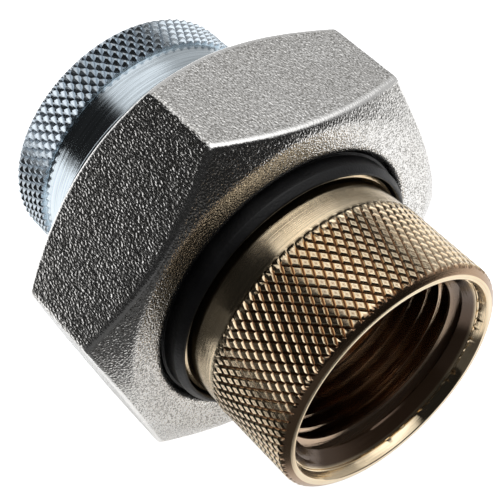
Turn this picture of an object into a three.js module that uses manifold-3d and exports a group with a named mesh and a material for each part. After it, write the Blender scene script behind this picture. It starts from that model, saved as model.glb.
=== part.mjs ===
// Dielectric pipe union for 3/4 inch pipe: a steel end and a brass end that never touch each other.
// Millimetres. The union's axis is X, the brass end faces +X, and +Z is up. The origin is on the axis,
// halfway between the two end faces. The hex nut has one flat straight up and one straight down.

import * as THREE from "three";
import { ParametricGeometry } from "three/addons/geometries/ParametricGeometry.js";
import { mergeVertices } from "three/addons/utils/BufferGeometryUtils.js";
import Module from "manifold-3d";

const wasm = await Module();
wasm.setup();

// ---------------------------------------------------------------- driving dimensions

const overallLength = 50.8;
const acrossFlats = 46;
const segments = 36; // facets round every turned surface, and steps in one turn of a thread
const fitGap = 0.3; // clearance between neighbouring pieces
const edge = 0.3; // small chamfer on turned edges
const overshoot = 2; // how far a cutter reaches past the material it cuts
const overlap = 0.2; // how far a thread's ridge or groove cutter reaches below the surface it stands on

// Taper pipe thread inside both ends, 14 threads to the inch.
const pipe = {
  mouthRadius: 13.95, // smooth counterbore that the pipe enters first
  mouthDepth: 1.3,
  startDepth: 2.4, // where the ridges reach their full height
  crestRadius: 11.85, // inner radius of the ridges at that depth
  threadHeight: 1.15,
  rootWidth: 0.15,
  pitch: 25.4 / 14,
  endDepth: 13.5,
  taper: 1 / 32, // loss of radius per millimetre of depth
};
pipe.endRadius = pipe.crestRadius - pipe.taper * (pipe.endDepth - pipe.startDepth);
const waterwayRadius = 11.2;

// Straight thread between the steel end and the nut, 11 threads to the inch.
const union = {
  outerRadius: 20.6,
  height: 1.1,
  crestWidth: 0.3,
  pitch: 25.4 / 11,
  crestGap: 0.35, // clearances of the nut's groove round the steel end's ridge
  rootGap: 0.3,
  sideGap: 0.16,
};
union.coreRadius = union.outerRadius - union.height;
union.nutRadius = union.coreRadius + union.rootGap;
union.grooveRadius = union.outerRadius + union.crestGap;
const flankSpread = Math.tan(THREE.MathUtils.degToRad(30)); // half width gained per millimetre of height

// Steel end, from its outer end towards the nut.
const steel = {
  endX: -overallLength / 2,
  rimRadius: 15.35,
  knurlRadius: 16.3,
  knurlEndX: -19.5,
  neckRadius: 15.7,
  neckFillet: 1.5,
  headX: -11.2, // back of the thick threaded head
  threadX: -8.7,
  faceX: -3, // flat face that the gasket seals against
};

const gasket = { thickness: 2, innerRadius: 12.6, outerRadius: 18.2 };
gasket.backX = steel.faceX + fitGap;
gasket.frontX = gasket.backX + gasket.thickness;

// Brass end, from the gasket towards its outer end.
const brass = {
  flangeX: gasket.frontX + fitGap,
  flangeThickness: 3.5,
  flangeRadius: 18.4,
  hubRadius: 15.8,
  hubEndX: 8.85,
  neckRadius: 15.35,
  knurlX: 12.8,
  knurlRadius: 15.55,
  rimRadius: 14.6, // outer edge of the flat end face
  rimDepth: 0.6,
  endX: overallLength / 2,
};

// Insulating collar: a sleeve in the nut's bore, a washer behind the nut's lip, a skirt round the flange
// and a nose that stands out of the nut.
const skirtReach = 0.2; // how far the skirt reaches past the back of the flange
const skirtGap = 0.35; // clearance between the skirt and the nut
const collar = {
  innerRadius: brass.hubRadius + fitGap,
  washerX: brass.flangeX + brass.flangeThickness + fitGap,
  washerThickness: 1,
  skirtX: brass.flangeX - skirtReach,
  skirtRadius: union.nutRadius - skirtGap,
  skirtThickness: 0.7,
  sleeveRadius: 17.35,
  sleeveEndX: 7.2,
  noseRootX: 7.9,
  noseRootRadius: 16.95,
  noseX: 8.95,
  noseRadius: 16.75,
};

// Union nut: a hexagon with its corners chamfered by a cone at each end.
const nut = {
  backX: -9.8,
  backFaceRadius: 21.75,
  backSlope: 0.75, // axial drop of the chamfer per millimetre of radius
  frontX: 7.1,
  frontFaceRadius: 21.95,
  frontSlope: flankSpread,
  cornerRound: 0.8, // distance from a corner at which its rounding starts
  boreRadius: collar.sleeveRadius + fitGap,
  lipX: collar.washerX + collar.washerThickness + fitGap,
  mouthDepth: 1,
  grooveEndX: -1.2,
};

// ---------------------------------------------------------------- making and joining solids

// A manifold-3d solid from a closed three.js geometry.
function asSolid(geometry) {
  geometry.deleteAttribute("normal");
  geometry.deleteAttribute("uv");
  const merged = mergeVertices(geometry);
  const corners = Array.from(merged.index.array);
  const triVerts = [];
  for (let i = 0; i < corners.length; i += 3) {
    const [a, b, c] = corners.slice(i, i + 3);
    if (a !== b && b !== c && c !== a) triVerts.push(a, b, c);
  }
  const vertProperties = merged.attributes.position.array;
  return new wasm.Manifold(
    new wasm.Mesh({ numProp: 3, vertProperties, triVerts: new Uint32Array(triVerts) }),
  );
}

function asGeometry(solid) {
  const mesh = solid.getMesh();
  const geometry = new THREE.BufferGeometry();
  geometry.setAttribute("position", new THREE.BufferAttribute(mesh.vertProperties, 3));
  geometry.setIndex(new THREE.BufferAttribute(mesh.triVerts, 1));
  geometry.computeVertexNormals();
  return geometry;
}

// A solid of revolution about X. The outline is a list of [x, radius] that closes on itself: it runs to
// the right along the bore and back to the left along the outside.
function turned(outline) {
  const points = [...outline, outline[0]].reverse().map(([x, radius]) => new THREE.Vector2(radius, x));
  return asSolid(new THREE.LatheGeometry(points, segments).rotateZ(-Math.PI / 2));
}

// A right-hand helical bar of trapezoid section round X, for a thread's ridge or its groove. Its base is
// on baseRadius and its crest on crestRadius at startX, and both shrink by taper for each millimetre
// towards endX. The bar fades in and out over a short run at its two ends, as a cut thread does.
function helicalBar({ startX, endX, pitch, baseRadius, crestRadius, crestWidth, taper = 0 }) {
  const way = Math.sign(endX - startX);
  const turns = Math.abs(endX - startX) / pitch;
  const steps = Math.round(turns * segments);
  const fadeSteps = segments / 6;
  const height = crestRadius - baseRadius;
  const baseWidth = crestWidth + 2 * flankSpread * Math.abs(height);
  const section = [
    [baseWidth / 2, 0],
    [crestWidth / 2, height],
    [-crestWidth / 2, height],
    [-baseWidth / 2, 0],
  ];
  const surface = (u, v, target) => {
    const step = v * steps;
    const size = Math.min(1, step / fadeSteps, (steps - step) / fadeSteps);
    const [across, up] = section[Math.round(u * section.length) % section.length];
    const along = (step / segments) * pitch;
    const radius = baseRadius + up * size - taper * along;
    const angle = (way * 2 * Math.PI * step) / segments;
    target.set(startX + way * (along + across * size), radius * Math.cos(angle), radius * Math.sin(angle));
  };
  return asSolid(new ParametricGeometry(surface, section.length, steps));
}

// ---------------------------------------------------------------- shared features

// Outline of the hole in either end, from its mouth at endX inwards along way, with the plain waterway
// running on to throughX.
function socketOutline(endX, way, throughX) {
  return [
    [endX, pipe.mouthRadius],
    [endX + way * pipe.mouthDepth, pipe.mouthRadius],
    [endX + way * pipe.startDepth, pipe.crestRadius],
    [endX + way * pipe.endDepth, pipe.endRadius],
    [endX + way * (pipe.endDepth + edge), waterwayRadius],
    [throughX, waterwayRadius],
  ];
}

// The helical groove of a taper pipe thread, as a cutter.
function pipeThreadGroove(endX, way) {
  return helicalBar({
    startX: endX + way * pipe.mouthDepth,
    endX: endX + way * (pipe.endDepth - edge),
    pitch: pipe.pitch,
    baseRadius: pipe.crestRadius - overlap,
    crestRadius: pipe.crestRadius + pipe.threadHeight,
    crestWidth: pipe.rootWidth,
    taper: pipe.taper,
  });
}

// ---------------------------------------------------------------- pieces

function makeSteelEnd() {
  const bore = socketOutline(steel.endX, 1, steel.faceX);
  const outside = [
    [steel.faceX, union.coreRadius - 2 * edge],
    [steel.faceX - 2 * edge, union.coreRadius],
    [steel.threadX, union.coreRadius],
    [steel.threadX - edge, union.outerRadius],
    [steel.headX + edge, union.outerRadius],
    [steel.headX, union.outerRadius - edge],
    [steel.headX, steel.neckRadius + steel.neckFillet],
    [steel.headX - steel.neckFillet, steel.neckRadius],
    [steel.knurlEndX + edge, steel.neckRadius],
    [steel.knurlEndX, steel.knurlRadius],
    [steel.endX + 2 * edge, steel.knurlRadius],
    [steel.endX, steel.rimRadius],
  ];
  const ridge = helicalBar({
    startX: steel.threadX,
    endX: steel.faceX,
    pitch: union.pitch,
    baseRadius: union.coreRadius - overlap,
    crestRadius: union.outerRadius,
    crestWidth: union.crestWidth,
  });
  return turned([...bore, ...outside]).add(ridge).subtract(pipeThreadGroove(steel.endX, 1));
}

function makeGasket() {
  return turned([
    [gasket.backX, gasket.innerRadius],
    [gasket.frontX, gasket.innerRadius],
    [gasket.frontX, gasket.outerRadius],
    [gasket.backX, gasket.outerRadius],
  ]);
}

function makeBrassEnd() {
  const bore = socketOutline(brass.endX, -1, brass.flangeX).reverse();
  const flangeFrontX = brass.flangeX + brass.flangeThickness;
  const outside = [
    [brass.endX, brass.rimRadius],
    [brass.endX - brass.rimDepth, brass.knurlRadius],
    [brass.knurlX, brass.knurlRadius],
    [brass.knurlX - edge, brass.neckRadius],
    [brass.hubEndX + 2 * edge, brass.neckRadius],
    [brass.hubEndX, brass.hubRadius],
    [flangeFrontX, brass.hubRadius],
    [flangeFrontX, brass.flangeRadius - edge],
    [flangeFrontX - edge, brass.flangeRadius],
    [brass.flangeX + edge, brass.flangeRadius],
    [brass.flangeX, brass.flangeRadius - edge],
  ];
  return turned([...bore, ...outside]).subtract(pipeThreadGroove(brass.endX, -1));
}

function makeCollar() {
  const washerFrontX = collar.washerX + collar.washerThickness;
  const skirtInnerRadius = collar.skirtRadius - collar.skirtThickness;
  return turned([
    [collar.skirtX, skirtInnerRadius],
    [collar.washerX, skirtInnerRadius],
    [collar.washerX, collar.innerRadius],
    [collar.noseX, collar.innerRadius],
    [collar.noseX, collar.noseRadius],
    [collar.noseRootX, collar.noseRootRadius],
    [collar.sleeveEndX, collar.sleeveRadius],
    [washerFrontX, collar.sleeveRadius],
    [washerFrontX, collar.skirtRadius],
    [collar.skirtX, collar.skirtRadius],
  ]);
}

// A hexagon with rounded corners, extruded along X, with one flat facing up.
function hexagonBar(fromX, toX) {
  const cornerRadius = acrossFlats / 2 / Math.cos(Math.PI / 6); // also the length of a side
  const cornerAt = (turn) => {
    const corner = new THREE.Vector2(cornerRadius, 0);
    return corner.rotateAround(new THREE.Vector2(), (turn * Math.PI) / 3);
  };
  const shape = new THREE.Shape();
  for (let i = 0; i < 6; i++) {
    const corner = cornerAt(i);
    const before = corner.clone().lerp(cornerAt(i - 1), nut.cornerRound / cornerRadius);
    const after = corner.clone().lerp(cornerAt(i + 1), nut.cornerRound / cornerRadius);
    if (i === 0) shape.moveTo(before.x, before.y);
    else shape.lineTo(before.x, before.y);
    shape.quadraticCurveTo(corner.x, corner.y, after.x, after.y);
  }
  const settings = { depth: toX - fromX, bevelEnabled: false, curveSegments: 3 };
  const bar = new THREE.ExtrudeGeometry(shape, settings).translate(0, 0, fromX);
  // The two turns take the shape's x to Y, its y to Z and the extrusion to X.
  return asSolid(bar.rotateY(Math.PI / 2).rotateX(Math.PI / 2));
}

// The space outside this round body is chamfered off the hexagon's corners.
function chamferBody() {
  const beyondCorners = acrossFlats;
  const backDrop = (beyondCorners - nut.backFaceRadius) * nut.backSlope;
  const frontDrop = (beyondCorners - nut.frontFaceRadius) * nut.frontSlope;
  return turned([
    [nut.backX, 0],
    [nut.frontX, 0],
    [nut.frontX, nut.frontFaceRadius],
    [nut.frontX - frontDrop, beyondCorners],
    [nut.backX + backDrop, beyondCorners],
    [nut.backX, nut.backFaceRadius],
  ]);
}

function makeNut() {
  const bore = turned([
    [nut.backX - overshoot, 0],
    [nut.frontX + overshoot, 0],
    [nut.frontX + overshoot, nut.boreRadius + overshoot],
    [nut.frontX - edge, nut.boreRadius],
    [nut.lipX, nut.boreRadius],
    [nut.lipX, union.nutRadius],
    [nut.backX + 2 * nut.mouthDepth, union.nutRadius],
    [nut.backX + nut.mouthDepth, union.grooveRadius],
    [nut.backX - overshoot, union.grooveRadius],
  ]);
  const groove = helicalBar({
    startX: steel.threadX - union.pitch,
    endX: nut.grooveEndX,
    pitch: union.pitch,
    baseRadius: union.nutRadius - overlap,
    crestRadius: union.grooveRadius,
    crestWidth: union.crestWidth + 2 * union.sideGap - 2 * flankSpread * union.crestGap,
  });
  return hexagonBar(nut.backX, nut.frontX).intersect(chamferBody()).subtract(bore).subtract(groove);
}

// ---------------------------------------------------------------- the assembly

function piece(name, solid, look) {
  const mesh = new THREE.Mesh(asGeometry(solid), new THREE.MeshStandardMaterial(look));
  mesh.name = name;
  return mesh;
}

const zincPlate = { color: 0xc3ccd2, metalness: 1, roughness: 0.25 };
const forgedSteel = { color: 0x8b8983, metalness: 1, roughness: 0.6 };
const paleBrass = { color: 0xd8c29a, metalness: 1, roughness: 0.22 };
const blackNylon = { color: 0x141518, metalness: 0, roughness: 0.45 };
const blackRubber = { color: 0x1b1b1b, metalness: 0, roughness: 0.8 };

const pipeUnion = new THREE.Group();
pipeUnion.add(
  piece("steel_end", makeSteelEnd(), zincPlate),
  piece("sealing_gasket", makeGasket(), blackRubber),
  piece("brass_end", makeBrassEnd(), paleBrass),
  piece("insulating_collar", makeCollar(), blackNylon),
  piece("union_nut", makeNut(), forgedSteel),
);

export default pipeUnion;
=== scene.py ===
"""Looks for the dielectric pipe union: knurled steel and brass ends, forged nut, nylon collar and gasket.

Shapes are worked out in millimetres round the union's axis, X, and scaled to metres at the end.
"""

import bpy
import numpy as np
from mathutils import Matrix, Vector, noise


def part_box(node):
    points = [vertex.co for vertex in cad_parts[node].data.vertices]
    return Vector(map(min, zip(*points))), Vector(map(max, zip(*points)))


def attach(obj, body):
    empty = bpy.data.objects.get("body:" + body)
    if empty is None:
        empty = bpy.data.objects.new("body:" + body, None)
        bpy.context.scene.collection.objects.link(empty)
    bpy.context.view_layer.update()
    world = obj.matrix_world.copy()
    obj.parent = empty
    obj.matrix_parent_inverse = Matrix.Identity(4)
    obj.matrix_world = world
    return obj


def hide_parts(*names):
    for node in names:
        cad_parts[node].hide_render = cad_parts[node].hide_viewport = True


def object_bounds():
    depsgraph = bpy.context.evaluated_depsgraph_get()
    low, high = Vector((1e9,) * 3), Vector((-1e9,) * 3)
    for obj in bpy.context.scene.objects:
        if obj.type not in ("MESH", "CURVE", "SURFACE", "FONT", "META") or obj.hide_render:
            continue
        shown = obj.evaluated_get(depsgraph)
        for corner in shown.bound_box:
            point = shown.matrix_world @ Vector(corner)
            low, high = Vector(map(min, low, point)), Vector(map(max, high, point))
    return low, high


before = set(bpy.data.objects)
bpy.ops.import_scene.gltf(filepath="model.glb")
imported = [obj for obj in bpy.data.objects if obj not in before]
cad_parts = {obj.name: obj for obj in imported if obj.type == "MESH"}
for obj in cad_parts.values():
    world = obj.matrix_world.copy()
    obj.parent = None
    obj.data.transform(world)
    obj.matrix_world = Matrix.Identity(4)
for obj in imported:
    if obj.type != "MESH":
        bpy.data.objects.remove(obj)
cad_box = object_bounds()

TURN = 2 * np.pi
MM = 0.001
FLANK = np.sqrt(3)  # a 60 degree thread climbs this much for each millimetre along the axis


# ------------------------------------------------------------------ sizes, in mm

def extent(node):
    """How far a CAD node reaches back, forward and up."""
    low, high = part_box(node)
    return [round(value / MM, 2) for value in (low[0], high[0], high[2])]


STEEL_BACK, _, HEAD_RADIUS = extent("steel_end")
FLANGE_BACK, BRASS_FRONT, FLANGE_RADIUS = extent("brass_end")
SKIRT_BACK, NOSE_FRONT, SKIRT_RADIUS = extent("insulating_collar")
NUT_BACK, NUT_FRONT, APOTHEM = extent("union_nut")
GASKET_BACK, GASKET_FRONT, GASKET_RADIUS = extent("sealing_gasket")
WATERWAY = 11.2  # radius of the plain bore behind both pipe threads

PIPE = dict(
    mouth=13.95,  # radius of the counterbore
    mouth_depth=1.3,
    entry=0.45,  # the step from the counterbore to the entry cone
    entry_slope=0.85,
    crest=11.85,  # radius inside the ridges near the mouth
    taper_start=2.4,
    taper=1 / 32,
    height=1.15,
    root=0.15,  # width of the flat line along the bottom of the groove
    blunt=0.04,  # how much of the groove's bottom is filled in
    pitch=25.4 / 14,
    depth=13.5,
    run_out=1.5,
)
UNION = dict(
    outer=HEAD_RADIUS,
    height=1.1,
    crest=0.3,  # width of the ridge's flat top
    pitch=25.4 / 11,
    start=-8.7,
    end=-3.0,
    lead=1.2,  # length over which the ridge rises from the sealing face
)
UNION["core"] = UNION["outer"] - UNION["height"]

RIM_START = 24.6  # distance from the middle where the rounding of each rim begins
RIM_LENGTH = 0.8
RIM_POWER = 1.5
RIM_DIRT_AND_SHADE = 0.75  # mark of the bevels beside the knurls, as a share of a groove's: grime and painted shade
EDGE_RING = 0.03  # how far inside the end face the last ring of a rim with grime and painted shade lies

TURNED_COLUMNS = 360
BORE_COLUMNS = 300


# ------------------------------------------------------------------ skins

LATTICE_MARGIN = 2  # how far past a band's ends its net is worked out
TINY = 1e-6  # what counts as reaching a band's end
SEAM = 1e-9  # what counts as reaching a whole turn
RIDGE = 0.48  # share of the gap beyond which a cell lies on the far side of a ridge


class Skin:
    """A closed surface round X, made of rings of points joined one to the next.

    Each point has a mark from 0 to 1 for its material: grime and painted shade in the grooves and on the rim
    bevels, and a painted highlight on chosen edges.
    """

    def __init__(self):
        self.points, self.faces, self.marks = [], [], []
        self.count = 0
        self.last = None
        self.first = None

    def add(self, x, radius, angle, mark=0.0):
        """Adds points and returns their numbers."""
        x, radius, angle, mark = np.broadcast_arrays(x, radius, angle, mark)
        self.points.append(np.stack([x, -radius * np.sin(angle), radius * np.cos(angle)], -1))
        self.marks.append(mark)
        numbers = self.count + np.arange(x.size)
        self.count += x.size
        return numbers

    def ring(self, x, radius, columns, mark=0.0):
        """Adds a ring of evenly spaced points. x and radius are numbers, or one value for each point."""
        angle = angles(columns)
        self.follow((angle, self.add(x, radius, angle, mark)))

    def follow(self, ring):
        """Joins a ring, which is its angles and its point numbers, to the ring before."""
        if self.last is not None:
            self.join(self.last, ring)
        else:
            self.first = ring
        self.last = ring

    def join(self, one, other):
        """Fills the strip between two rings, which may differ in their number of points."""
        (angle_a, a), (angle_b, b) = one, other
        if len(a) == len(b) and np.allclose(angle_a, angle_b):
            next_a = np.roll(a, -1)
            next_b = np.roll(b, -1)
            self.faces.append(np.stack([a, next_a, b], -1))
            self.faces.append(np.stack([next_a, next_b, b], -1))
            return
        i = j = 0
        triangles = []
        while i < len(a) or j < len(b):
            next_a = angle_a[i + 1] if i + 1 < len(a) else TURN + angle_a[(i + 1) % len(a)]
            next_b = angle_b[j + 1] if j + 1 < len(b) else TURN + angle_b[(j + 1) % len(b)]
            if j == len(b) or (i < len(a) and next_a <= next_b):
                triangles.append((a[i % len(a)], a[(i + 1) % len(a)], b[j % len(b)]))
                i += 1
            else:
                triangles.append((a[i % len(a)], b[(j + 1) % len(b)], b[j % len(b)]))
                j += 1
        self.faces.append(np.array(triangles))

    def turn(self, outline, columns, painted_highlight=()):
        """Rings along an outline of (x, radius, rounding, steps).

        rounding is how far each side of a corner its arc begins, and steps cuts the run before the point.
        The corners given last, by their place in the outline, get a mark that paints a highlight on them.
        """
        for (x, radius), corner in meridian(outline):
            self.ring(x, radius, columns, 1.0 if corner in painted_highlight else 0.0)

    def lattice(self, start, end, way, origin, families, shape):
        """A band from start to the larger x, end, on a net of two families of lines that cross at origin.

        way is -1 when the skin runs towards -X. A family is (lines round the band, lines met for each
        millimetre along X, where its points lie between two lines, as shares of the gap). Lines of the
        first family climb towards +X as the angle grows, and those of the second fall.
        shape gives (radius, mark) from x, the angle in turns, and the shares of the gap.
        """
        (count_a, slope_a, cuts_a), (count_b, slope_b, cuts_b) = families
        cuts_a, cuts_b = np.array(cuts_a), np.array(cuts_b)
        size_a, size_b = len(cuts_a), len(cuts_b)
        cross = count_a * slope_b + count_b * slope_a
        low_end, high_end = start - LATTICE_MARGIN, end + LATTICE_MARGIN
        left, right = low_end - origin, high_end - origin
        lines_a = np.arange(int(-slope_a * right - 1) * size_a, int(count_a - slope_a * left + 1) * size_a)
        lines_b = np.arange(int(slope_b * left - 1) * size_b, int(count_b + slope_b * right + 1) * size_b)

        def place(line_a, line_b):
            """(turn, x) where two lines cross."""
            a = line_a // size_a + cuts_a[line_a % size_a]
            b = line_b // size_b + cuts_b[line_b % size_b]
            turn = (a * slope_b + b * slope_a) / cross
            return turn, origin + (count_a * b - count_b * a) / cross

        # The net's cells, each named by the two lines that cross at its first corner
        line_a, line_b = np.meshgrid(lines_a, lines_b, indexing="ij")
        turn, x = place(line_a, line_b)
        near = (turn >= 0) & (turn < 1) & (x > low_end) & (x < high_end)
        line_a, line_b = line_a[near], line_b[near]
        corners = [(line_a, line_b), (line_a + 1, line_b), (line_a + 1, line_b + 1), (line_a, line_b + 1)]
        placed = [place(*corner) for corner in corners]
        inside = sum(((x > start + TINY) & (x < end - TINY)).astype(int) for _, x in placed)
        kept = inside > 0

        # Corners that are the same point share one number, also across the seam after a whole turn
        keys = []
        for (corner_a, corner_b), (turn, _) in zip(corners, placed):
            whole = np.floor(turn + SEAM).astype(int)
            wrapped = [corner_a - whole * size_a * count_a, corner_b - whole * size_b * count_b]
            keys.append(np.stack([line[kept] for line in wrapped], -1))
        unique, back = np.unique(np.concatenate(keys), axis=0, return_inverse=True)
        turn, free_x = place(unique[:, 0], unique[:, 1])
        x = np.clip(free_x, start, end)
        radius, mark = shape(x, turn, cuts_a[unique[:, 0] % size_a], cuts_b[unique[:, 1] % size_b])
        numbers = self.add(x, radius, turn * TURN, mark)
        quads = numbers[back.reshape(4, -1).T]

        # Each cell is split along the diagonal that follows its ridge
        share_a, share_b = cuts_a[line_a[kept] % size_a], cuts_b[line_b[kept] % size_b]
        along = (share_a - RIDGE) * (share_b - RIDGE) > 0
        along &= inside[kept] > 1
        for chosen, triangles in ((along, ((0, 1, 2), (0, 2, 3))), (~along, ((0, 1, 3), (1, 2, 3)))):
            for triangle in triangles:
                self.faces.append(quads[chosen][:, triangle[::way]])

        # The points clamped to each end of the band, in order, are its first and last rings
        edges = []
        for ring in (free_x <= start + TINY, free_x >= end - TINY)[::way]:
            order = np.nonzero(ring)[0]
            order = order[np.lexsort((-free_x[order], turn[order]))]
            edges.append((turn[order] * TURN, numbers[order]))
        self.follow(edges[0])
        self.last = edges[1]

    def knurl(self, start, end, way, families, groove, band, rim, run_out):
        """A knurled band. Each family of grooves is (number round the band, grooves met for each millimetre).

        groove has the half width as a share of the pitch, the depth, the steps of a flank, and the crown.
        band gives the radius before the grooves are cut, run_out each family's share of the depth,
        and rim the radius of the bevel turned on the end afterwards.
        """
        half = groove["half_width"]
        flank = groove["flank_steps"]
        falling = np.linspace(0, half, flank + 1)
        rising = 1 - np.linspace(half, 0, flank + 1)[:-1]
        cuts = np.concatenate([falling, [0.5], rising])

        def shape(x, turn, share_a, share_b):
            near_a, near_b = np.minimum(share_a, 1 - share_a), np.minimum(share_b, 1 - share_b)
            fade_a, fade_b = run_out(x)
            cut_a, cut_b = np.clip(1 - near_a / half, 0, 1), np.clip(1 - near_b / half, 0, 1)
            cut = np.maximum(cut_a * fade_a, cut_b * fade_b)
            plateau = np.clip((np.minimum(near_a, near_b) - half) / (0.5 - half), 0, 1)
            uncut = cut < 0.01
            surface = band(x) - groove["crown"] * (1 - plateau) * uncut - groove["depth"] * cut
            bevel = rim(x)
            # The mark follows the groove's depth and is a fixed share on the rim bevel: grime and painted
            # shade.
            return np.minimum(bevel, surface), np.where(surface < bevel, cut, RIM_DIRT_AND_SHADE)

        netted = [(*family, cuts) for family in families]
        self.lattice(start, end, way, (start + end) / 2, netted, shape)

    def screw(self, start, end, way, thread_start, pitch, half_width, height, columns, radius_at):
        """A threaded band whose radius is radius_at(x, angle).

        half_width is that of the thread's flat line, and height how far its flanks climb from there.
        """
        flat, foot = half_width / pitch, (half_width + height / FLANK) / pitch
        side = list(np.linspace(flat, foot, 4)) + [(foot + 0.5) / 2]
        cuts = side + [0.5] + [1 - share for share in reversed(side)]

        def shape(x, turn, share_a, share_b):
            return radius_at(x, turn * TURN), np.zeros_like(x)

        families = ((1, 1 / pitch, cuts), (columns, 0, [0.0]))
        self.lattice(start, end, way, thread_start + SCREW_TURN * pitch, families, shape)

    def finish(self, name, material, body, replaced, grit=None, sharp=32):
        """Joins the last ring to the first and makes the Blender object."""
        self.join(self.last, self.first)
        points, kept, number = np.unique(
            np.round(np.concatenate(self.points), 6), axis=0, return_index=True, return_inverse=True)
        points = points * MM
        faces = number.ravel()[np.concatenate([f.reshape(-1, 3) for f in self.faces])]
        whole = (faces[:, 0] != faces[:, 1]) & (faces[:, 1] != faces[:, 2]) & (faces[:, 2] != faces[:, 0])
        faces = faces[whole]
        a, b, c = (points[faces[:, k]] for k in range(3))
        if np.einsum("ij,ij->", a, np.cross(b, c)) < 0:
            faces = faces[:, ::-1]
        mesh = bpy.data.meshes.new(name)
        mesh.vertices.add(len(points))
        mesh.vertices.foreach_set("co", points.ravel())
        mesh.loops.add(faces.size)
        mesh.loops.foreach_set("vertex_index", faces.ravel().astype(np.int32))
        mesh.polygons.add(len(faces))
        mesh.polygons.foreach_set("loop_start", np.arange(0, faces.size, 3, dtype=np.int32))
        mesh.update(calc_edges=True)
        mesh.validate()
        if grit:
            roughen(mesh, *grit)
        marks = mesh.attributes.new("mark", "FLOAT", "POINT")
        marks.data.foreach_set("value", np.concatenate(self.marks)[kept])
        mesh.polygons.foreach_set("use_smooth", np.ones(len(mesh.polygons), dtype=bool))
        mesh.set_sharp_from_angle(angle=np.radians(sharp))
        piece = bpy.data.objects.new(name, mesh)
        bpy.context.collection.objects.link(piece)
        mesh.materials.append(material)
        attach(piece, body)
        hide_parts(replaced)


def angles(columns):
    """The angles of a ring's points, from 0 at the top."""
    return np.arange(columns) * TURN / columns


def meridian(outline):
    """Pairs of a row (x, radius) along an outline, whose values may be arrays, and its corner or None."""
    blank = sum(0.0 * x + 0.0 * radius for x, radius, _, _ in outline)
    places = [np.stack([x + blank, radius + blank]) for x, radius, _, _ in outline]
    rows, corners = [], []
    for k, (_, _, rounding, steps) in enumerate(outline):
        here = places[k]
        arc = [here]
        if rounding:
            sides = []
            for other in (places[k - 1], places[k + 1]):
                way = other - here
                sides.append(here + way * np.minimum(rounding / np.linalg.norm(way, axis=0), 0.5))
            before, after = sides
            shares = (0, 0.25, 0.5, 0.75, 1)
            arc = [before * (1 - u) ** 2 + 2 * here * u * (1 - u) + after * u**2 for u in shares]
        if rows:
            last = rows[-1]
            rows += [last + (arc[0] - last) * j / steps for j in range(1, steps)]
            corners += [None] * (steps - 1)
        rows += arc
        corners += [k] * len(arc)
    return zip(rows, corners)


# ------------------------------------------------------------------ threads

SCREW_TURN = 0.25  # every thread starts a quarter turn from the top, on the +Y side
BURR_WAVES = (37, 53, 71)  # waves round the mouth that add up to a ragged line
BURR_GAPS = 0.6  # how high a wave has to be to leave a burr
BURR_HEIGHT = 0.16


def screw_distance(x, start, pitch, angle):
    """How far x is from the nearest turn of a right-hand screw line that passes start."""
    turns = (x - start) / pitch - (angle / TURN + SCREW_TURN)
    return abs(turns - np.round(turns)) * pitch


def socket(skin, way, columns):
    """A taper pipe thread's hole, from its mouth at the +X end (way 1) or the -X end (way -1)."""
    end = BRASS_FRONT if way > 0 else STEEL_BACK
    foot = PIPE["mouth_depth"]
    start = end - way * foot
    angle = angles(columns)
    ragged = sum(np.sin(waves * angle + k) for k, waves in enumerate(BURR_WAVES))
    burr_side = np.clip(2 * np.cos(angle + TURN * SCREW_TURN), 0, 1)
    burr = BURR_HEIGHT * np.clip(ragged - BURR_GAPS, 0, 1) * burr_side
    rounded_edge = [(0, 0.12), (0.05, 0.05), (0.12, 0)]
    burred_foot = [(foot - 0.2, -0.3), (foot - 0.1, -0.2 - burr), (foot, -0.3)]
    for depth, widening in rounded_edge + burred_foot:
        skin.ring(end - way * depth, PIPE["mouth"] + widening, columns)

    def radius_at(x, angle):
        depth = way * (end - x)
        crest = PIPE["crest"] - PIPE["taper"] * np.maximum(0, depth - PIPE["taper_start"])
        off = screw_distance(x, start, PIPE["pitch"], angle) - PIPE["root"] / 2
        fade = np.clip((PIPE["depth"] - depth) / PIPE["run_out"], 0, 1)
        groove = np.clip(PIPE["height"] - off * FLANK, 0, PIPE["height"] - PIPE["blunt"]) * fade
        cone = PIPE["mouth"] - PIPE["entry"] - (depth - foot) * PIPE["entry_slope"]
        return np.maximum(np.maximum(crest + groove, cone), WATERWAY)

    deep = end - way * (PIPE["depth"] + 0.6)
    skin.screw(min(start, deep), max(start, deep), -way, start, PIPE["pitch"], PIPE["root"] / 2,
               PIPE["height"], columns, radius_at)


# ------------------------------------------------------------------ the grit of the forging

OUTSIDE = 18.2  # radius beyond which the nut's skin is rough
FINE_GRIT = 3.1  # bumps for each millimetre
COARSE_GRIT = 0.35
GRIT_LEVEL = 0.7  # the noise seldom passes this, so nearly all of the skin sinks


def roughen(mesh, fine, coarse):
    """Sinks the points beyond the bore by noise, to about the fine and coarse depths, in mm."""
    count = len(mesh.vertices)
    points = np.empty(count * 3)
    mesh.vertices.foreach_get("co", points)
    normals = np.empty(count * 3)
    mesh.vertices.foreach_get("normal", normals)
    points, normals = points.reshape(-1, 3), normals.reshape(-1, 3)
    radius = np.hypot(points[:, 1], points[:, 2]) / MM
    for k in np.nonzero(radius > OUTSIDE)[0]:
        spot = Vector(points[k] / MM)
        fine_depth = fine * (GRIT_LEVEL - noise.noise(spot * FINE_GRIT))
        depth = fine_depth + coarse * (GRIT_LEVEL - noise.noise(spot * COARSE_GRIT))
        points[k] -= normals[k] * depth * MM
    mesh.vertices.foreach_set("co", points.ravel())
    mesh.update()


# ------------------------------------------------------------------ materials

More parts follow.
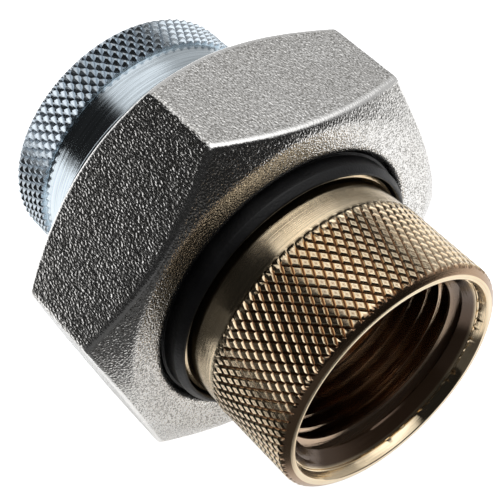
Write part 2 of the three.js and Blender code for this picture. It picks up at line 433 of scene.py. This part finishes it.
class Nodes:
    """A node tree, with short calls to make and join its nodes."""

    def __init__(self, tree):
        self.tree = tree

    def node(self, kind, inputs=None, **settings):
        """Adds a node. Inputs that are sockets are linked, and the others set."""
        made = self.tree.nodes.new(kind)
        for key, value in settings.items():
            setattr(made, key, value)
        for key, value in (inputs or {}).items():
            if isinstance(value, bpy.types.NodeSocket):
                self.tree.links.new(value, made.inputs[key])
            else:
                made.inputs[key].default_value = value
        return made

    def math(self, operation, *values):
        return self.node("ShaderNodeMath", dict(enumerate(values)), operation=operation).outputs[0]

    def spot(self):
        """The place on the object, in metres."""
        return self.node("ShaderNodeTexCoord").outputs["Object"]

    def axes(self, vector):
        return self.node("ShaderNodeSeparateXYZ", {0: vector}).outputs

    def lathe_coordinates(self):
        """(x, radius, angle) in millimetres and radians, as three sockets."""
        x, y, z = (self.math("MULTIPLY", part, 1 / MM) for part in self.axes(self.spot()))
        square = self.math("ADD", self.math("MULTIPLY", y, y), self.math("MULTIPLY", z, z))
        return x, self.math("SQRT", square), self.math("ARCTAN2", y, z)

    def vector(self, x, y, z):
        return self.node("ShaderNodeCombineXYZ", {0: x, 1: y, 2: z}).outputs[0]

    def noise(self, vector, scale, detail=2.0, roughness=0.5):
        inputs = {"Vector": vector, "Scale": scale, "Detail": detail, "Roughness": roughness}
        return self.node("ShaderNodeTexNoise", inputs).outputs["Fac"]

    def mark(self):
        """What the skin says of each point: grime and painted shade in the grooves and on the rim bevels, and
        a painted highlight on chosen edges.
        """
        return self.node("ShaderNodeAttribute", attribute_name="mark").outputs["Fac"]

    def ramp(self, value, low, high, bottom=0.0, top=1.0):
        """A straight change from bottom to top, greys or colours, as value goes from low to high."""
        made = self.node("ShaderNodeValToRGB", {"Fac": value})
        for element, place, colour in zip(made.color_ramp.elements, (low, high), (bottom, top)):
            element.position = place
            element.color = (*colour, 1) if isinstance(colour, tuple) else (colour, colour, colour, 1)
        return made.outputs["Color"]

    def smooth_step(self, value, low, high, bottom, top):
        """A soft change from bottom to top as value goes from low to high."""
        inputs = {"Value": value, "From Min": low, "From Max": high, "To Min": bottom, "To Max": top}
        return self.node("ShaderNodeMapRange", inputs, interpolation_type="SMOOTHSTEP").outputs["Result"]

    def mix(self, factor, a, b, blend="MIX"):
        """a where the factor is 0 and b where it is 1, or the two blended as blend says."""
        made = self.node("ShaderNodeMix", data_type="RGBA", blend_type=blend)
        for slot, value in ((0, factor), (6, a), (7, b)):
            if isinstance(value, bpy.types.NodeSocket):
                self.tree.links.new(value, made.inputs[slot])
            elif isinstance(value, tuple):
                made.inputs[slot].default_value = (*value, 1)
            else:
                made.inputs[slot].default_value = value
        return made.outputs[2]

    def bump(self, height, distance, strength=1.0, below=None):
        """Normals of a relief of the given height, distance metres deep, on top of the normals below."""
        inputs = {"Height": height, "Strength": strength, "Distance": distance}
        if below is not None:
            inputs["Normal"] = below
        return self.node("ShaderNodeBump", inputs).outputs["Normal"]


class Paint(Nodes):
    """A material on the Principled shader. Settings are numbers for the shader's own sockets."""

    def __init__(self, name, **settings):
        self.material = bpy.data.materials.new(name)
        self.material.use_nodes = True
        super().__init__(self.material.node_tree)
        self.shader = self.tree.nodes["Principled BSDF"]
        for key, value in settings.items():
            self.shader.inputs[key.replace("_", " ")].default_value = value

    def set(self, key, value):
        self.tree.links.new(value, self.shader.inputs[key])


BRASS_PAINT = dict(
    bright=(0.88, 0.74, 0.53),
    dim=(0.78, 0.62, 0.41),
    # The next three colours: grime with painted shade in the grooves, painted shade on a dull brown film in
    # the mouth, and painted shade deeper in the bore.
    crevice_dirt_and_shade=(0.30, 0.165, 0.09),
    mouth=(0.10, 0.06, 0.036),
    bore=(0.56, 0.41, 0.29),
    streak=0.8,
    roughness=0.10,
    line_depth=0.000013,
)
ZINC_PAINT = dict(
    bright=(0.80, 0.89, 0.95),
    dim=(0.72, 0.81, 0.88),
    # The next three colours: grime with painted shade in the grooves, painted shade on a dull film in the
    # mouth, and painted shade deeper in the bore.
    crevice_dirt_and_shade=(0.42, 0.47, 0.52),
    mouth=(0.35, 0.38, 0.40),
    bore=(0.35, 0.38, 0.40),
    streak=0.6,
    roughness=0.13,
    line_depth=0.000011,
)
BORE_EDGE = (13.2, 13.6)  # radii between which the bore's darker colour, painted shade of the hollow, gives way to the outside's
MOUTH_EDGE = (20.5, 22.5)  # distances from the middle between which the deep bore gives way to the mouth
MOUTH_METAL = 0.55  # how metallic the mouth is, where its colour is painted shade on a dull film
ALONG_RING = 0.16  # millimetres of noise for each radian, which draws it out into rings


def turned_metal(name, bright, dim, crevice_dirt_and_shade, mouth, bore, streak, roughness, line_depth):
    """Metal cut on a lathe: fine rings, slow changes of tint, grime and painted shade in its grooves, and a
    bore darkened by painted shade.

    streak is the darkest share that a ring leaves of the colour, and line_depth the rings' depth in metres.
    """
    paint = Paint(name)
    x, radius, angle = paint.lathe_coordinates()
    lines = paint.vector(x, radius, paint.math("MULTIPLY", angle, ALONG_RING))
    fine = paint.noise(lines, scale=9.0, detail=4.0, roughness=0.6)
    broad = paint.noise(lines, scale=1.6)
    cloud = paint.noise(paint.spot(), scale=170.0, detail=3.0)

    tint = paint.mix(paint.ramp(cloud, 0.3, 0.7), dim, bright)
    tint = paint.mix(1.0, tint, paint.ramp(fine, 0.32, 0.58, bottom=streak), blend="MULTIPLY")
    # Grooves and rim bevels darken towards the groove colour by their mark: grime and painted shade.
    dirt_and_shade = paint.ramp(paint.mark(), 0.2, 0.9)
    # The bore is painted darker than the outside, painted shade of the hollow, and its mouth darkest, painted
    # shade on a dull film.
    outside = paint.smooth_step(radius, *BORE_EDGE, 0.0, 1.0)
    deep = paint.smooth_step(paint.math("ABSOLUTE", x), *MOUTH_EDGE, 1.0, 0.0)
    inside = paint.mix(deep, mouth, bore)
    paint.set("Base Color", paint.mix(outside, inside, paint.mix(dirt_and_shade, tint, crevice_dirt_and_shade)))
    paint.set("Metallic", paint.ramp(paint.math("MAXIMUM", outside, deep), 0.0, 1.0, bottom=MOUTH_METAL))

    rough = paint.math("MULTIPLY_ADD", broad, 0.10, roughness - 0.05)
    paint.set("Roughness", paint.math("MULTIPLY_ADD", dirt_and_shade, 0.16, rough))
    rings = paint.bump(fine, line_depth)
    paint.set("Normal", paint.bump(broad, line_depth * 2.5, below=rings))
    return paint.material


def forged_steel():
    """Blasted forging: a fine sparkling grit over slow changes of shade, with a painted highlight and
    smoother grain along its marked edges.
    """
    paint = Paint("forged_steel", Metallic=1.0)
    spot = paint.spot()
    squeeze = {0: spot, 1: (0.6, 1.0, 1.0)}
    stretched = paint.node("ShaderNodeVectorMath", squeeze, operation="MULTIPLY").outputs["Vector"]
    grit = paint.noise(stretched, scale=4500.0, detail=0.6)
    pits = paint.noise(stretched, scale=6000.0, detail=1.0)
    cloud = paint.noise(spot, scale=110.0, detail=4.0)
    painted_highlight = paint.mark()

    shade = paint.mix(paint.ramp(cloud, 0.3, 0.7), (0.80, 0.785, 0.76), (0.93, 0.92, 0.90))
    pitted = paint.mix(paint.ramp(pits, 0.36, 0.56), (0.30, 0.29, 0.27), shade)
    # Painted highlight: the marked edges are whitened.
    paint.set("Base Color", paint.mix(painted_highlight, pitted, (0.97, 0.96, 0.94)))
    paint.set("Roughness", paint.ramp(pits, 0.35, 0.7, bottom=0.28, top=0.13))
    strength = paint.ramp(painted_highlight, 0.0, 0.8, bottom=1.0, top=0.35)
    grain = paint.bump(grit, 0.000098, strength)
    paint.set("Normal", paint.bump(pits, 0.00001, strength, below=grain))
    return paint.material


def black_nylon():
    """Moulded nylon: nearly black, satin, with a fine grain and faint rings."""
    paint = Paint("black_nylon", Specular_IOR_Level=0.35)
    spot = paint.spot()
    cloud = paint.noise(spot, scale=300.0, detail=4.0)
    darkest, lightest = (0.005, 0.005, 0.006), (0.012, 0.012, 0.013)
    paint.set("Base Color", paint.ramp(cloud, 0.3, 0.7, bottom=darkest, top=lightest))
    paint.set("Roughness", paint.ramp(cloud, 0.3, 0.7, bottom=0.38, top=0.52))
    x, radius, angle = paint.lathe_coordinates()
    lines = paint.noise(paint.vector(x, radius, paint.math("MULTIPLY", angle, 0.5)), scale=5.0, detail=3.0)
    grain = paint.noise(spot, scale=3500.0, detail=1.0)
    paint.set("Normal", paint.bump(grain, 0.00004, below=paint.bump(lines, 0.00001)))
    return paint.material


def gasket_rubber():
    """Matt black rubber with a fine grain."""
    paint = Paint("gasket_rubber")
    grain = paint.noise(paint.spot(), scale=1800.0, detail=3.0)
    darkest, lightest = (0.012, 0.012, 0.012), (0.03, 0.03, 0.03)
    paint.set("Base Color", paint.ramp(grain, 0.3, 0.7, bottom=darkest, top=lightest))
    paint.set("Roughness", paint.ramp(grain, 0.3, 0.7, bottom=0.65, top=0.85))
    paint.set("Normal", paint.bump(grain, 0.00005))
    return paint.material


# ------------------------------------------------------------------ pieces

def rim_radius(x, way, face, rise):
    """The radius of an end's rim, which rounds down by rise to the edge of the end face."""
    return face + rise * (1 - np.clip((way * x - RIM_START) / RIM_LENGTH, 0, 1) ** RIM_POWER)


def brass_end(material):
    """The brass half: flange, hub, neck, knurl, rounded rim, and the pipe thread in its end."""
    flange_front = 3.1
    hub, hub_front = 15.8, 8.1
    neck, neck_front = 15.35, 12.75
    knurl_back, knurl_front = 12.8, 25.0
    knurl_rise, rise_length, run_out_length = 0.2, 0.35, 0.9
    thread_foot = 10.5
    skin = Skin()
    skin.turn([
        (FLANGE_BACK, WATERWAY, 0, 1),
        (FLANGE_BACK, FLANGE_RADIUS, 0.3, 2),
        (flange_front, FLANGE_RADIUS, 0.3, 2),
        (flange_front, hub, 0.2, 1),
        (hub_front, hub, 0.1, 3),
        (hub_front + 0.2, neck, 0.1, 1),
        (neck_front, neck, 0, 14),
    ], TURNED_COLUMNS)

    def band(x):
        return neck + knurl_rise * np.clip((x - neck_front) / rise_length, 0, 1)

    def rim(x):
        return rim_radius(x, 1, face=14.62, rise=0.93)

    def run_out(x):
        along = (x - knurl_back) / run_out_length
        return np.clip(along + 0.15, 0, 1), np.clip(along - 0.35, 0, 1)

    families = ((85, 0.43), (77, 0.565))
    groove = dict(half_width=0.22, depth=0.26, flank_steps=2, crown=0.006)
    skin.knurl(knurl_back, knurl_front, 1, families, groove, band, rim, run_out)
    # The rim's rings carry the bevel's mark of grime and painted shade.
    for x in (25.1, 25.2, 25.3, BRASS_FRONT - EDGE_RING):
        skin.ring(x, rim(x), TURNED_COLUMNS, RIM_DIRT_AND_SHADE)
    skin.ring(BRASS_FRONT, rim(BRASS_FRONT), TURNED_COLUMNS)
    socket(skin, 1, BORE_COLUMNS)
    skin.ring(thread_foot, WATERWAY, BORE_COLUMNS)
    skin.finish("brass_end_knurled", material, "brass_half", "brass_end")


def steel_end(material):
    """The steel half: sealing face, union thread, thick head, neck, knurl, and the pipe thread in its end."""
    head_back, head_step = -11.2, 17.4
    shoulder, shoulder_back, fillet_back = 16.3, -12.0, -13.4
    neck, neck_back = 15.7, -19.45
    knurl_radius, knurl_back, knurl_front = 16.3, -25.1, -19.5
    face_chamfer, lead_drop = 0.5, 0.4
    thread_foot = -11.5
    skin = Skin()
    skin.ring(UNION["end"], WATERWAY, BORE_COLUMNS)
    skin.ring(UNION["end"], UNION["core"] - face_chamfer, TURNED_COLUMNS)

    def radius_at(x, angle):
        off = screw_distance(x, UNION["start"], UNION["pitch"], angle) - UNION["crest"] / 2
        ridge = np.clip(UNION["height"] - off * FLANK, 0, UNION["height"])
        lead = np.clip((UNION["end"] - x) / UNION["lead"], 0, 1)
        return UNION["core"] - lead_drop * (1 - lead) + ridge * lead

    skin.screw(UNION["start"], UNION["end"], -1, UNION["start"], UNION["pitch"], UNION["crest"] / 2,
               UNION["height"], TURNED_COLUMNS, radius_at)
    skin.turn([
        (UNION["start"], HEAD_RADIUS, 0.15, 1),
        (head_back, HEAD_RADIUS, 0.3, 2),
        (head_back, head_step, 0.2, 2),
        (shoulder_back, shoulder, 0.5, 2),
        (fillet_back, neck, 0.6, 3),
        (neck_back, neck, 0, 18),
    ], TURNED_COLUMNS)

    def band(x):
        return np.full_like(x, knurl_radius)

    def rim(x):
        return rim_radius(x, -1, face=15.35, rise=0.95)

    def run_out(x):
        return np.ones_like(x), np.ones_like(x)

    families = ((83, 0.487), (83, 0.487))
    groove = dict(half_width=0.38, depth=0.42, flank_steps=2, crown=0.0)
    skin.knurl(knurl_back, knurl_front, -1, families, groove, band, rim, run_out)
    # The rim's rings carry the bevel's mark of grime and painted shade.
    for x in (-25.2, -25.3, STEEL_BACK + EDGE_RING):
        skin.ring(x, rim(x), TURNED_COLUMNS, RIM_DIRT_AND_SHADE)
    skin.ring(STEEL_BACK, rim(STEEL_BACK), TURNED_COLUMNS)
    socket(skin, -1, BORE_COLUMNS)
    skin.ring(thread_foot, WATERWAY, BORE_COLUMNS)
    skin.finish("steel_end_knurled", material, "steel_half", "steel_end")


def hexagon_radius(columns, corner_round):
    """The radius of a hexagon, flat at its top and with rounded corners, for each point of a ring."""
    off_flat = (angles(columns) + TURN / 12) % (TURN / 6) - TURN / 12
    from_corner = TURN / 12 - abs(off_flat)
    flat = APOTHEM / np.cos(off_flat)
    centre = (APOTHEM - corner_round) / np.cos(TURN / 12)
    tangent = np.arctan2(corner_round * 0.5, centre + corner_round * np.cos(TURN / 12))
    inside = np.maximum(corner_round**2 - (centre * np.sin(from_corner)) ** 2, 0)
    return np.where(from_corner < tangent, centre * np.cos(from_corner) + np.sqrt(inside), flat)


def nut(material):
    """The nut: a hexagon chamfered by a cone at each end, its bore, and the union thread inside."""
    columns, inner_columns = 540, 270
    mouth, back_face, back_slope = 20.95, 21.75, 0.75
    front_face, bore, lip_back = 21.95, 17.65, 4.7
    thread_bore, thread_back, thread_front = 19.8, -7.8, -1.0
    groove_front, relief_back = -1.1, -0.9
    groove_depth, groove_root = 1.15, 0.216
    hexagon = hexagon_radius(columns, corner_round=0.6)
    back = NUT_BACK + back_slope * (hexagon - back_face)
    front = NUT_FRONT - (hexagon - front_face) / FLANK
    skin = Skin()
    # Corners 3 and 4, where the hexagon meets its cones, get a painted highlight.
    skin.turn([
        (NUT_BACK + 1, mouth, 0, 1),
        (NUT_BACK, mouth, 0.15, 2),
        (NUT_BACK, back_face, 0.25, 2),
        (back, hexagon, 0.35, 14),
        (front, hexagon, 0.45, 54),
        (NUT_FRONT, front_face, 0.5, 15),
        (NUT_FRONT, bore, 1.1, 14),
        (lip_back, bore, 0, 3),
    ], columns, painted_highlight=(3, 4))
    skin.ring(lip_back, thread_bore, inner_columns)
    skin.ring(relief_back, thread_bore, inner_columns)

    def radius_at(x, angle):
        off = screw_distance(x, UNION["start"], UNION["pitch"], angle) - groove_root / 2
        fade = np.clip(groove_front - x, 0, 1)
        return thread_bore + np.clip(groove_depth - off * FLANK, 0, groove_depth) * fade

    skin.screw(thread_back, thread_front, -1, UNION["start"], UNION["pitch"], groove_root / 2,
               groove_depth, inner_columns, radius_at)
    skin.finish("nut_forged", material, "nut", "union_nut", grit=(0.012, 0.03), sharp=40)


def collar(material):
    """The collar: a skirt round the brass flange, a washer, a sleeve in the nut's lip, and a sloped nose."""
    skirt_inside, washer_back, washer_front = 18.75, 3.4, 4.4
    bore, sleeve, sleeve_front = 16.1, 17.35, 6.2
    nose, nose_slope_back, nose_edge = 17.0, 8.1, 16.4
    skin = Skin()
    skin.turn([
        (SKIRT_BACK, skirt_inside, 0, 1),
        (washer_back, skirt_inside, 0.1, 2),
        (washer_back, bore, 0.1, 2),
        (NOSE_FRONT, bore, 0.12, 4),
        (NOSE_FRONT, nose_edge, 0.12, 1),
        (nose_slope_back, nose, 0.12, 2),
        (sleeve_front, nose, 0.1, 2),
        (sleeve_front, sleeve, 0.1, 1),
        (washer_front, sleeve, 0.1, 2),
        (washer_front, SKIRT_RADIUS, 0.15, 2),
        (SKIRT_BACK, SKIRT_RADIUS, 0.15, 4),
        (SKIRT_BACK, skirt_inside + 0.2, 0, 1),
    ], 240)
    skin.finish("collar_moulded", material, "collar", "insulating_collar")


def gasket(material):
    """The gasket: a flat ring with rounded edges."""
    bore = 12.6
    skin = Skin()
    skin.turn([
        (GASKET_BACK, bore, 0, 1),
        (GASKET_FRONT, bore, 0.25, 3),
        (GASKET_FRONT, GASKET_RADIUS, 0.25, 4),
        (GASKET_BACK, GASKET_RADIUS, 0.25, 3),
        (GASKET_BACK, bore + 0.3, 0, 3),
    ], 180)
    skin.finish("gasket_ring", material, "brass_half", "sealing_gasket")


# ------------------------------------------------------------------ studio

WALL_LIGHT = 0.48
CEILING_LIGHT = 0.95
LAMP_LIGHT = 0.65  # the middle of the ceiling adds this
DARK_LIGHT = 0.015
FLOOR_RADIUS = 0.6  # metres
FLOOR_SIDES = 96
# the floor's painted glow, beyond the painted shadow under the union
FLOOR_PAINTED_GLOW = 0.6
FLOOR_WHITE = 0.97


def make_world():
    """A room with a bright ceiling and grey walls, dark towards -Y and +X, which the camera sees as white."""
    world = bpy.data.worlds.new("studio")
    bpy.context.scene.world = world
    world.use_nodes = True
    nodes = Nodes(world.node_tree)
    x, y, z = nodes.axes(nodes.node("ShaderNodeTexCoord").outputs["Generated"])
    room = nodes.smooth_step(z, 0.66, 0.74, WALL_LIGHT, CEILING_LIGHT)
    light = nodes.math("ADD", room, nodes.smooth_step(z, 0.86, 0.92, 0.0, LAMP_LIGHT))
    not_front = nodes.smooth_step(y, -0.46, -0.36, 0.0, 1.0)
    not_right = nodes.smooth_step(x, 0.45, 0.75, 1.0, 0.0)
    overhead = nodes.smooth_step(z, 0.78, 0.86, 0.0, 1.0)
    open_side = nodes.math("MAXIMUM", nodes.math("MULTIPLY", not_front, not_right), overhead)
    glow = nodes.math("ADD", nodes.math("MULTIPLY", light, open_side), DARK_LIGHT)
    seen = nodes.node("ShaderNodeLightPath").outputs["Is Camera Ray"]
    background = nodes.tree.nodes["Background"]
    nodes.tree.links.new(nodes.mix(seen, glow, (1.0, 1.0, 1.0)), background.inputs["Color"])
    background.inputs["Strength"].default_value = 1.0


def make_floor():
    """The table top that the nut rests on.

    It glows white up to a line in front of the union, a painted glow, and nearer than that it is dark,
    a painted shadow under the union. The camera sees all of it as white.
    """
    low = cad_box[0][2]
    mesh = bpy.data.meshes.new("floor")
    rim = [(FLOOR_RADIUS * np.cos(a), FLOOR_RADIUS * np.sin(a), low) for a in angles(FLOOR_SIDES)]
    mesh.from_pydata(rim, [], [list(range(FLOOR_SIDES))])
    floor = bpy.data.objects.new("floor", mesh)
    bpy.context.collection.objects.link(floor)
    paint = Paint("floor", Roughness=0.9, Emission_Color=(1, 1, 1, 1))
    x, y, _ = paint.axes(paint.spot())
    nearer = paint.math("SUBTRACT", paint.math("MULTIPLY", x, 0.68), paint.math("MULTIPLY", y, 0.73))
    # Painted glow and a light base colour beyond a line in front of the union; nearer, a dark base colour and
    # no glow, a painted shadow.
    outside_painted_shadow = paint.smooth_step(nearer, 0.025, 0.034, 1.0, 0.0)
    paint.set("Base Color", paint.ramp(outside_painted_shadow, 0.0, 1.0, bottom=0.1, top=0.9))
    seen = paint.node("ShaderNodeLightPath").outputs["Is Camera Ray"]
    glow, white = paint.math("MULTIPLY", outside_painted_shadow, FLOOR_PAINTED_GLOW), paint.math("MULTIPLY", seen, FLOOR_WHITE)
    paint.set("Emission Strength", paint.math("MAXIMUM", glow, white))
    mesh.materials.append(paint.material)


def make_camera():
    """The photograph's viewpoint: its place in metres, and its right, up and backward directions."""
    data = bpy.data.cameras.new("camera")
    camera = bpy.data.objects.new("camera", data)
    bpy.context.collection.objects.link(camera)
    bpy.context.scene.camera = camera
    data.sensor_width = 36.0
    data.lens = 107.39
    data.clip_start = 0.01
    right = (0.62292, 0.76713, 0.15324)
    up = (-0.58744, 0.32936, 0.73922)
    backward = (0.51661, -0.55050, 0.65580)
    place = (0.091033, -0.096761, 0.114834)
    rows = [(right[k], up[k], backward[k], place[k]) for k in range(3)]
    camera.matrix_world = Matrix(rows + [(0, 0, 0, 1)])


make_world()
make_floor()
make_camera()
bpy.context.scene.view_settings.view_transform = "Standard"

brass_end(turned_metal("pale_brass", **BRASS_PAINT))
steel_end(turned_metal("zinc_plate", **ZINC_PAINT))
nut(forged_steel())
collar(black_nylon())
gasket(gasket_rubber())
